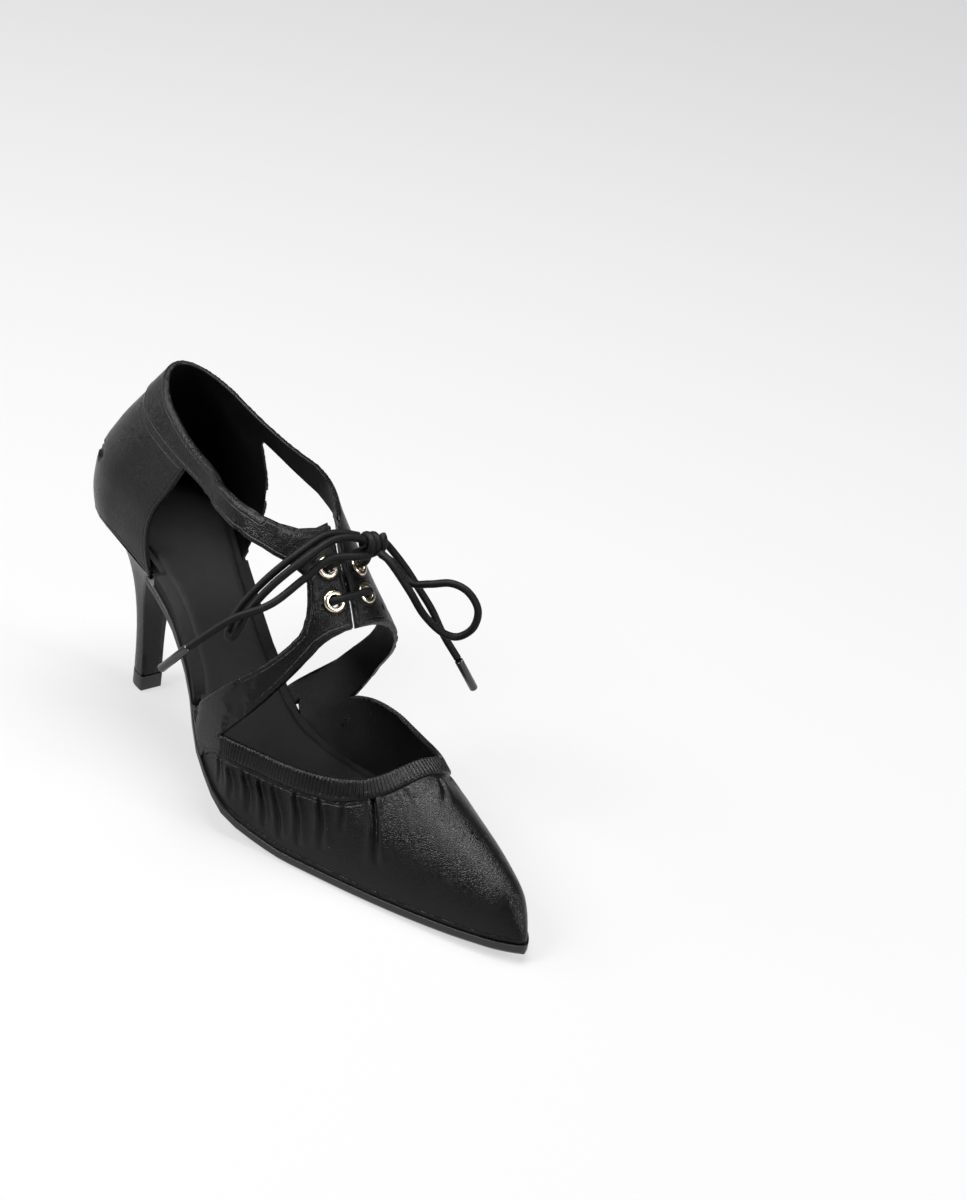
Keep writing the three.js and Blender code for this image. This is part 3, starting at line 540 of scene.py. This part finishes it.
NAPPA_BLACK = (0.0026, 0.0026, 0.0030)
nappa = leather("black_nappa", NAPPA_BLACK, 0.25, 0.36, 1500, 1.0)
lining = leather("black_lining", (0.0022, 0.0022, 0.0025), 0.48, 0.60, 2200, 0.5)
sewn_nappa = leather("black_nappa_sewn", NAPPA_BLACK, 0.25, 0.36, 1500, 1.0)
nodes, links = sewn_nappa.node_tree.nodes, sewn_nappa.node_tree.links
sewing = nodes.new("ShaderNodeGroup")
sewing.node_tree = sewn_edges
sewing.inputs["Groove Distance"].default_value = 1.7
sewing.inputs["Groove Width"].default_value = 0.45
shader = nodes["Principled BSDF"]
groove_bump = nodes.new("ShaderNodeBump")
groove_bump.inputs["Strength"].default_value = 0.8
groove_bump.inputs["Distance"].default_value = 0.00022
links.new(sewing.outputs["Groove"], groove_bump.inputs["Height"])
links.new(shader.inputs["Normal"].links[0].from_socket, groove_bump.inputs["Normal"])
links.new(groove_bump.outputs["Normal"], shader.inputs["Normal"])
upper.data.materials.append(sewn_nappa)
upper.data.materials.append(lining)
for face, way, height in zip(upper.data.polygons, lies, skin_level[corners].mean(axis=1)):
    if way < -0.3 and height < 0.5:
        face.material_index = 1
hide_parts("upper")
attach(upper, "root")


# Gathered band: a folded strip of leather with elastic inside, stitched along the throat, so
# that it draws up into fine ribs. It lies on the vamp's top edge.
THROAT = {
    "lateral": [(0.475, 0.310), (0.495, 0.345), (0.530, 0.362), (0.600, 0.350), (0.660, 0.352),
                (0.705, 0.368), (0.726, 0.392), (0.740, 0.430), (0.750, 0.500)],
    "medial": [(0.475, 0.320), (0.495, 0.345), (0.530, 0.352), (0.600, 0.330), (0.660, 0.330),
               (0.700, 0.350), (0.726, 0.392), (0.740, 0.430), (0.750, 0.500)],
}


def surface_route(side):
    """Stations and turns of one side of the throat's edge where it runs on the last."""
    table = np.array(THROAT[side]) * (LENGTH, INSTEP)
    position = np.linspace(0, len(table) - 1, 500)
    x = smooth_through(table[:, 0], position)
    z = smooth_through(table[:, 1], position)
    base = x.copy()
    for _ in range(12):
        forward, _ = cup_at(base, z - feather_at(base))
        base = 0.5 * base + 0.5 * (x - forward)
    _, _, feather, height, square, _ = section_at(base)
    share = (z - feather) / height
    keep = (share > 0) & (share < 1)
    base, share, square = base[keep], share[keep], square[keep]
    turn = np.arcsin(share ** (square / 2))
    if side == "medial":
        turn = math.pi - turn
    return np.stack([base, turn], -1)


def smooth_through(values, where):
    """A Catmull-Rom curve through a row of values."""
    padded = np.concatenate([[2 * values[0] - values[1]], values, [2 * values[-1] - values[-2]]])
    i = np.clip(where.astype(int), 0, len(values) - 2)
    t = where - i
    a, b, c, d = padded[i], padded[i + 1], padded[i + 2], padded[i + 3]
    return 0.5 * (2 * b + (c - a) * t + (2 * a - 5 * b + 4 * c - d) * t ** 2
                  + (3 * b - 3 * c + d - a) * t ** 3)


def even(points, pitch):
    """Points an even distance apart along the same line."""
    size = np.concatenate([[0], np.cumsum(np.linalg.norm(np.diff(points, axis=0), axis=1))])
    at = np.linspace(0, size[-1], max(2, int(size[-1] / pitch) + 1))
    return np.stack([np.interp(at, size, points[:, k]) for k in range(points.shape[1])], -1)


def mesh_piece(name, vertices, faces, material):
    """A smooth closed piece of its own, with its material and body."""
    data = bpy.data.meshes.new(name)
    data.from_pydata([tuple(v) for v in vertices], [], faces)
    data.validate()
    piece = bpy.data.objects.new(name, data)
    bpy.context.collection.objects.link(piece)
    data.materials.append(material)
    bpy.ops.object.select_all(action="DESELECT")
    piece.select_set(True)
    bpy.context.view_layer.objects.active = piece
    bpy.ops.object.mode_set(mode="EDIT")
    bpy.ops.mesh.select_all(action="SELECT")
    bpy.ops.mesh.normals_make_consistent(inside=False)
    bpy.ops.object.mode_set(mode="OBJECT")
    bpy.ops.object.shade_smooth()
    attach(piece, "root")
    return piece


def closed_tube(rings):
    """Vertices and faces of rings joined one after another, with both ends filled."""
    rings = np.array(rings)
    count, size = rings.shape[:2]
    faces = []
    for i in range(count - 1):
        for j in range(size):
            k = (j + 1) % size
            faces.append((i * size + j, i * size + k, (i + 1) * size + k, (i + 1) * size + j))
    faces.append(tuple(range(size - 1, -1, -1)))
    faces.append(tuple((count - 1) * size + j for j in range(size)))
    return rings.reshape(-1, 3), faces


RIB_PITCH, RIB_DEPTH, RIB_STEPS, BAND_END = 1.25, 0.42, 9, 9.0
SMOOTH_OVER, WANDER_OVER = 61, 121
route = np.concatenate([surface_route("lateral"), surface_route("medial")[::-1]])
spread = last_point(route[:, 0], route[:, 1])
distance = np.concatenate([[0], np.cumsum(np.linalg.norm(np.diff(spread, axis=0), axis=1))])
columns = int(distance[-1] / RIB_PITCH * RIB_STEPS)
at = np.linspace(0, distance[-1], columns)
kernel = np.hanning(SMOOTH_OVER) / np.hanning(SMOOTH_OVER).sum()


def along_band(values):
    """The route's values, spaced evenly along the band and smoothed."""
    padded = np.pad(np.interp(at, distance, values), SMOOTH_OVER // 2, mode="edge")
    return np.convolve(padded, kernel, mode="valid")


band_x, band_turn = along_band(route[:, 0]), along_band(route[:, 1])
top_line, way_out, _ = on_last(last_point(band_x, band_turn))
tangent = np.gradient(top_line, axis=0)
tangent /= np.linalg.norm(tangent, axis=1, keepdims=True)
downward = np.cross(way_out, tangent)
downward *= np.sign(downward[:, 2].mean()) * -1
# Each row of the strip's outline gives how far down and how high it lies, in millimetres.
BAND_OUTLINE = [
    (-0.3, -0.4), (-0.35, 0.5), (-0.1, 1.1), (0.5, 1.4), (1.2, 1.5), (2.2, 1.52), (3.4, 1.52),
    (4.6, 1.5), (5.6, 1.45), (6.3, 1.35), (6.9, 1.1), (7.2, 0.5), (7.1, -0.4), (3.5, -0.5),
]
rng = np.random.default_rng(7)
soft = np.hanning(WANDER_OVER) / np.hanning(WANDER_OVER).sum()


def slow_noise():
    """Random values that change slowly along the band, at most one either way."""
    values = rng.normal(0, 1, columns + WANDER_OVER - 1)
    values = np.convolve(values, soft, mode="valid")[:columns]
    return values / np.abs(values).max()


wander = slow_noise()
uneven = slow_noise()
phase = 2 * math.pi * (at / RIB_PITCH + 1.1 * wander)
rib = RIB_DEPTH * (np.abs(np.cos(phase / 2)) ** 0.7 - 0.6) * (1 + 0.35 * uneven)
from_end = np.minimum(at, distance[-1] - at)
sunk = 1.1 * np.clip(1 - (from_end - 5) / BAND_END, 0, 1)
BAND_SUNK, BAND_LOWEST = 0.5, 0.4
rings = []
for down, height in BAND_OUTLINE:
    base, lift, _ = on_last(top_line + downward * down)
    weight = 1.0 if height > 1.3 else (0.55 if height > 1 else (0.3 if height > 0 else 0.0))
    lifted = np.maximum(WALL + height - BAND_SUNK + rib * weight - sunk, BAND_LOWEST)
    rings.append(base + lift * lifted[:, None])
vertices, faces = closed_tube(to_shoe(np.array(rings).transpose(1, 0, 2)))
mesh_piece("gathered_band", vertices, faces, nappa)


# Sock and insole: a leather-wrapped board shows its edge at the cut-outs, and a thin sock
# lining is laid on it, a little short of the rim.
def round_edges(piece, width, from_angle):
    """Rounds each edge that is sharper than an angle, in degrees."""
    bevel = piece.modifiers.new("rounded_edge", "BEVEL")
    bevel.width = width
    bevel.segments = 3
    bevel.limit_method = "ANGLE"
    bevel.angle_limit = math.radians(from_angle)
    bpy.ops.object.modifier_apply(modifier="rounded_edge")


insole = copy_of("insole", "wrapped_insole")
round_edges(insole, 0.0009, 50)
bpy.ops.object.shade_smooth_by_angle(angle=math.radians(35))
insole.data.materials.append(lining)
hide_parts("insole")
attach(insole, "root")

SOCK_INSET, SOCK_THICK, INSOLE_THICK = 3.6, 0.55, 4.0
SOCK_FROM, SOCK_TO, HEEL_END, TOE_END = 4.0, LENGTH - 8.0, 10, 7
STATIONS, STRIPS, NARROWEST = 110, 16, 0.4


def end_round(reach, past):
    """The share of the width that is left near a rounded end."""
    return math.sqrt(max(0.02, 1 - max(0, (reach - past) / reach) ** 2))


rings = []
for x in np.linspace(SOCK_FROM, SOCK_TO, STATIONS):
    centre, half, feather, _, _, tuck = section_at(np.array(x))
    lateral_edge = centre - half + SOCK_INSET
    medial_edge = centre + half - tuck - SOCK_INSET
    middle = float(lateral_edge + medial_edge) / 2
    wide = max(float(medial_edge - lateral_edge) / 2, NARROWEST)
    wide *= min(1.0, end_round(HEEL_END, x - SOCK_FROM), end_round(TOE_END, SOCK_TO - x))
    top = float(feather) + INSOLE_THICK
    ring = []
    for k in range(STRIPS + 1):
        share = -1 + 2 * k / STRIPS
        dome = SOCK_THICK * min(1.0, (1 - abs(share)) * 14)
        ring.append((x, middle + wide * share, top + 0.02 + dome))
    ring.append((x, middle + wide, top + 0.01))
    ring.append((x, middle - wide, top + 0.01))
    rings.append(ring)
vertices, faces = closed_tube(to_shoe(np.array(rings)))
sock_leather = leather("sock_leather", NAPPA_BLACK, 0.55, 0.68, 1800, 0.6)
mesh_piece("sock_lining", vertices, faces, sock_leather)


# Sole: a thin black leather outsole, its edge inked and burnished, running from the heel
# breast to the toe.
edge_ink, _ = new_material("edge_ink", (0.0030, 0.0030, 0.0033), 0.34)
outsole = copy_of("outsole", "thin_outsole")
round_edges(outsole, 0.0005, 30)
bpy.ops.object.shade_smooth_by_angle(angle=math.radians(30))
outsole.data.materials.append(edge_ink)
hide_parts("outsole")
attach(outsole, "root")


# Heel: a moulded core wrapped in the same nappa, with a flat breast, and a hard black top
# piece nailed under it.
heel = copy_of("heel", "covered_heel")
bpy.ops.object.mode_set(mode="EDIT")
bpy.ops.mesh.select_all(action="SELECT")
bpy.ops.mesh.tris_convert_to_quads(face_threshold=math.radians(60), shape_threshold=math.radians(120))
bpy.ops.object.mode_set(mode="OBJECT")
heel.data.attributes.new("crease_edge", "FLOAT", "EDGE")
SHARP, CREASE = math.radians(48), 0.9
mesh = bmesh.new()
mesh.from_mesh(heel.data)
layer = mesh.edges.layers.float["crease_edge"]
for edge in mesh.edges:
    if len(edge.link_faces) == 2 and edge.calc_face_angle(0) > SHARP:
        edge[layer] = CREASE
mesh.to_mesh(heel.data)
mesh.free()
heel_curve = heel.modifiers.new("round_heel", "SUBSURF")
heel_curve.levels = heel_curve.render_levels = 2
bpy.ops.object.modifier_apply(modifier="round_heel")
bpy.ops.object.shade_smooth_by_angle(angle=math.radians(40))
heel.data.materials.append(nappa)
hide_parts("heel")
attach(heel, "root")

top_piece = copy_of("top_piece", "heel_top_piece")
round_edges(top_piece, 0.0005, 40)
bpy.ops.object.shade_smooth_by_angle(angle=math.radians(35))
hard_rubber, _ = new_material("hard_rubber", (0.0040, 0.0040, 0.0040), 0.45)
top_piece.data.materials.append(hard_rubber)
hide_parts("top_piece")
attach(top_piece, "root")


# Eyelets: pressed brass rings with a pale gold plate, rolled over on both faces. Two sit in
# each panel, one above the other.
gold, gold_shader = new_material("pale_gold_plate", (0.80, 0.72, 0.58), 0.22)
gold_shader.inputs["Metallic"].default_value = 1.0
for side in ("lateral", "medial"):
    for level_name in ("lower", "upper"):
        node = f"eyelet_{side}_{level_name}"
        ring = copy_of(node, f"{node}_ring")
        round_edges(ring, 0.0003, 30)
        bpy.ops.object.shade_smooth_by_angle(angle=math.radians(40))
        ring.data.materials.append(gold)
        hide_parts(node)
        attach(ring, "root")


# Lace: a round waxed cotton cord through the four eyelets, tied in a bow. The loops and ends
# stand off the leather because the wax keeps them stiff.
LACE, LACE_STEP, SPAN_STEPS = 2.8, 0.7, 24
KNOT = (0.5567, 0.1515, 1.0510)
LACE_ROUTES = {
    "lace_loop_lateral": [
        (0.560, 0.082, 1.078), (0.556, 0.000, 1.093), (0.553, -0.114, 1.093), (0.550, -0.265, 1.045),
        (0.532, -0.424, 0.940), (0.519, -0.523, 0.839), (0.5190, -0.560, 0.790), (0.5130, -0.594, 0.750),
        (0.5045, -0.594, 0.748), (0.4990, -0.560, 0.788), (0.501, -0.523, 0.839),
        (0.515, -0.424, 0.940), (0.532, -0.265, 1.045), (0.535, -0.114, 1.093),
        (0.539, 0.000, 1.091), (0.544, 0.091, 1.076)],
    "lace_end_lateral": [
        (0.571, 0.097, 1.026), (0.572, 0.015, 1.036), (0.560, -0.136, 1.034), (0.550, -0.273, 0.963),
        (0.546, -0.455, 0.892), (0.514, -0.606, 0.821), (0.488, -0.697, 0.740), (0.472, -0.742, 0.690)],
    "lace_loop_medial": [
        (0.563, 0.206, 1.012), (0.571, 0.273, 0.980), (0.599, 0.333, 0.925), (0.626, 0.379, 0.944),
        (0.654, 0.439, 0.969), (0.677, 0.485, 0.956), (0.695, 0.515, 0.903), (0.695, 0.500, 0.836),
        (0.678, 0.455, 0.789), (0.665, 0.394, 0.798), (0.647, 0.303, 0.856), (0.632, 0.212, 0.950),
        (0.596, 0.161, 1.028), (0.579, 0.155, 1.039)],
    "lace_end_medial": [
        (0.544, 0.218, 1.053), (0.536, 0.311, 1.017), (0.555, 0.424, 0.926), (0.574, 0.485, 0.855),
        (0.600, 0.515, 0.797), (0.623, 0.545, 0.725), (0.654, 0.576, 0.658)],
}
waxed_cord, cord_shader = new_material("waxed_cord", (0.0024, 0.0024, 0.0027), 0.50)
cord_shader.inputs["Specular IOR Level"].default_value = 0.15
nodes, links = waxed_cord.node_tree.nodes, waxed_cord.node_tree.links
weave_place = nodes.new("ShaderNodeTexCoord")
weave = nodes.new("ShaderNodeTexWave")
weave.wave_type = "BANDS"
weave.bands_direction = "DIAGONAL"
weave.inputs["Scale"].default_value = 900
weave.inputs["Distortion"].default_value = 1.5
weave_bump = nodes.new("ShaderNodeBump")
weave_bump.inputs["Strength"].default_value = 0.5
weave_bump.inputs["Distance"].default_value = 0.0002
links.new(weave_place.outputs["Object"], weave.inputs["Vector"])
links.new(weave.outputs["Fac"], weave_bump.inputs["Height"])
links.new(weave_bump.outputs["Normal"], cord_shader.inputs["Normal"])


def spline_through(points):
    """A centripetal curve through given points, sampled evenly, in millimetres."""
    points = np.array(points, float)
    padded = np.vstack([2 * points[0] - points[1], points, 2 * points[-1] - points[-2]])
    out = []
    for i in range(len(points) - 1):
        a, b, c, d = padded[i:i + 4]
        t1 = np.linalg.norm(b - a) ** 0.5
        t2 = t1 + np.linalg.norm(c - b) ** 0.5
        t3 = t2 + np.linalg.norm(d - c) ** 0.5
        for t in np.linspace(t1, t2, SPAN_STEPS, endpoint=False):
            ab = a * (t1 - t) / t1 + b * t / t1
            bc = b * (t2 - t) / (t2 - t1) + c * (t - t1) / (t2 - t1)
            cd = c * (t3 - t) / (t3 - t2) + d * (t - t2) / (t3 - t2)
            abc = ab * (t2 - t) / t2 + bc * t / t2
            bcd = bc * (t3 - t) / (t3 - t1) + cd * (t - t1) / (t3 - t1)
            out.append(abc * (t2 - t) / (t2 - t1) + bcd * (t - t1) / (t2 - t1))
    out.append(points[-1])
    return even(np.array(out), LACE_STEP)


def cord_curve(name, points):
    """A length of the lace as a live curve with round, closed ends."""
    data = bpy.data.curves.new(name, "CURVE")
    data.dimensions = "3D"
    data.bevel_depth = LACE / 2 * MM
    data.bevel_resolution = 5
    data.use_fill_caps = True
    spline = data.splines.new("POLY")
    spline.points.add(len(points) - 1)
    for spot, place in zip(spline.points, to_shoe(points)):
        spot.co = (*place, 1)
    piece = bpy.data.objects.new(name, data)
    bpy.context.collection.objects.link(piece)
    data.materials.append(waxed_cord)
    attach(piece, "root")
    return piece


aglet_plastic, _ = new_material("aglet_plastic", (0.020, 0.020, 0.022), 0.12)
for side in ("lateral", "medial"):
    aglet = copy_of(f"aglet_{side}", f"aglet_{side}_tube")
    round_edges(aglet, 0.0004, 50)
    bpy.ops.object.shade_smooth_by_angle(angle=math.radians(40))
    aglet.data.materials.append(aglet_plastic)
    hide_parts(f"aglet_{side}")
    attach(aglet, "root")

for name, shares in LACE_ROUTES.items():
    points = spline_through(np.array(shares) * (LENGTH, BALL, INSTEP))
    piece = cord_curve(f"{name}_cord", points)
    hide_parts(name)
    size = float(np.linalg.norm(np.diff(points, axis=0), axis=1).sum()) * MM
    side = name.split("_")[-1]
    tuple(to_shoe(points[0]))

# Knot and bars: the knot's core is drawn in, and two and a bit turns of the lace go round it.
# The bars between the eyelets are one stiff piece.
CORE_REACH, CORE_SHARE = 0.0053, 0.62
WRAP_TURNS, WRAP_STEPS, WRAP_START, WRAP_RADIUS, WRAP_SIDEWAYS = 2.3, 70, -0.6, 3.3, 3.0
knot_middle = np.array(KNOT) * (LENGTH, BALL, INSTEP)
for node in ("lace_bars", "lace_knot"):
    cord = copy_of(node, f"{node}_cord")
    if node == "lace_knot":
        middle = Vector(to_shoe(knot_middle))
        for vertex in cord.data.vertices:
            if (vertex.co - middle).length < CORE_REACH:
                vertex.co = middle + (vertex.co - middle) * CORE_SHARE
        soften = cord.modifiers.new("soften", "SUBSURF")
        soften.levels = soften.render_levels = 1
        bpy.ops.object.modifier_apply(modifier="soften")
    bpy.ops.object.shade_smooth_by_angle(angle=math.radians(60))
    cord.data.materials.append(waxed_cord)
    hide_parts(node)
    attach(cord, "root")

wrap = []
for turn in np.linspace(0, WRAP_TURNS, WRAP_STEPS):
    angle = 2 * math.pi * turn + WRAP_START
    radius = WRAP_RADIUS + 0.25 * math.sin(3.1 * turn)
    sideways = WRAP_SIDEWAYS * (2 * turn / WRAP_TURNS - 1) + 0.4 * math.sin(angle)
    wrap.append(knot_middle + (radius * math.cos(angle), sideways, radius * math.sin(angle)))
cord_curve("lace_knot_wrap", np.array(wrap))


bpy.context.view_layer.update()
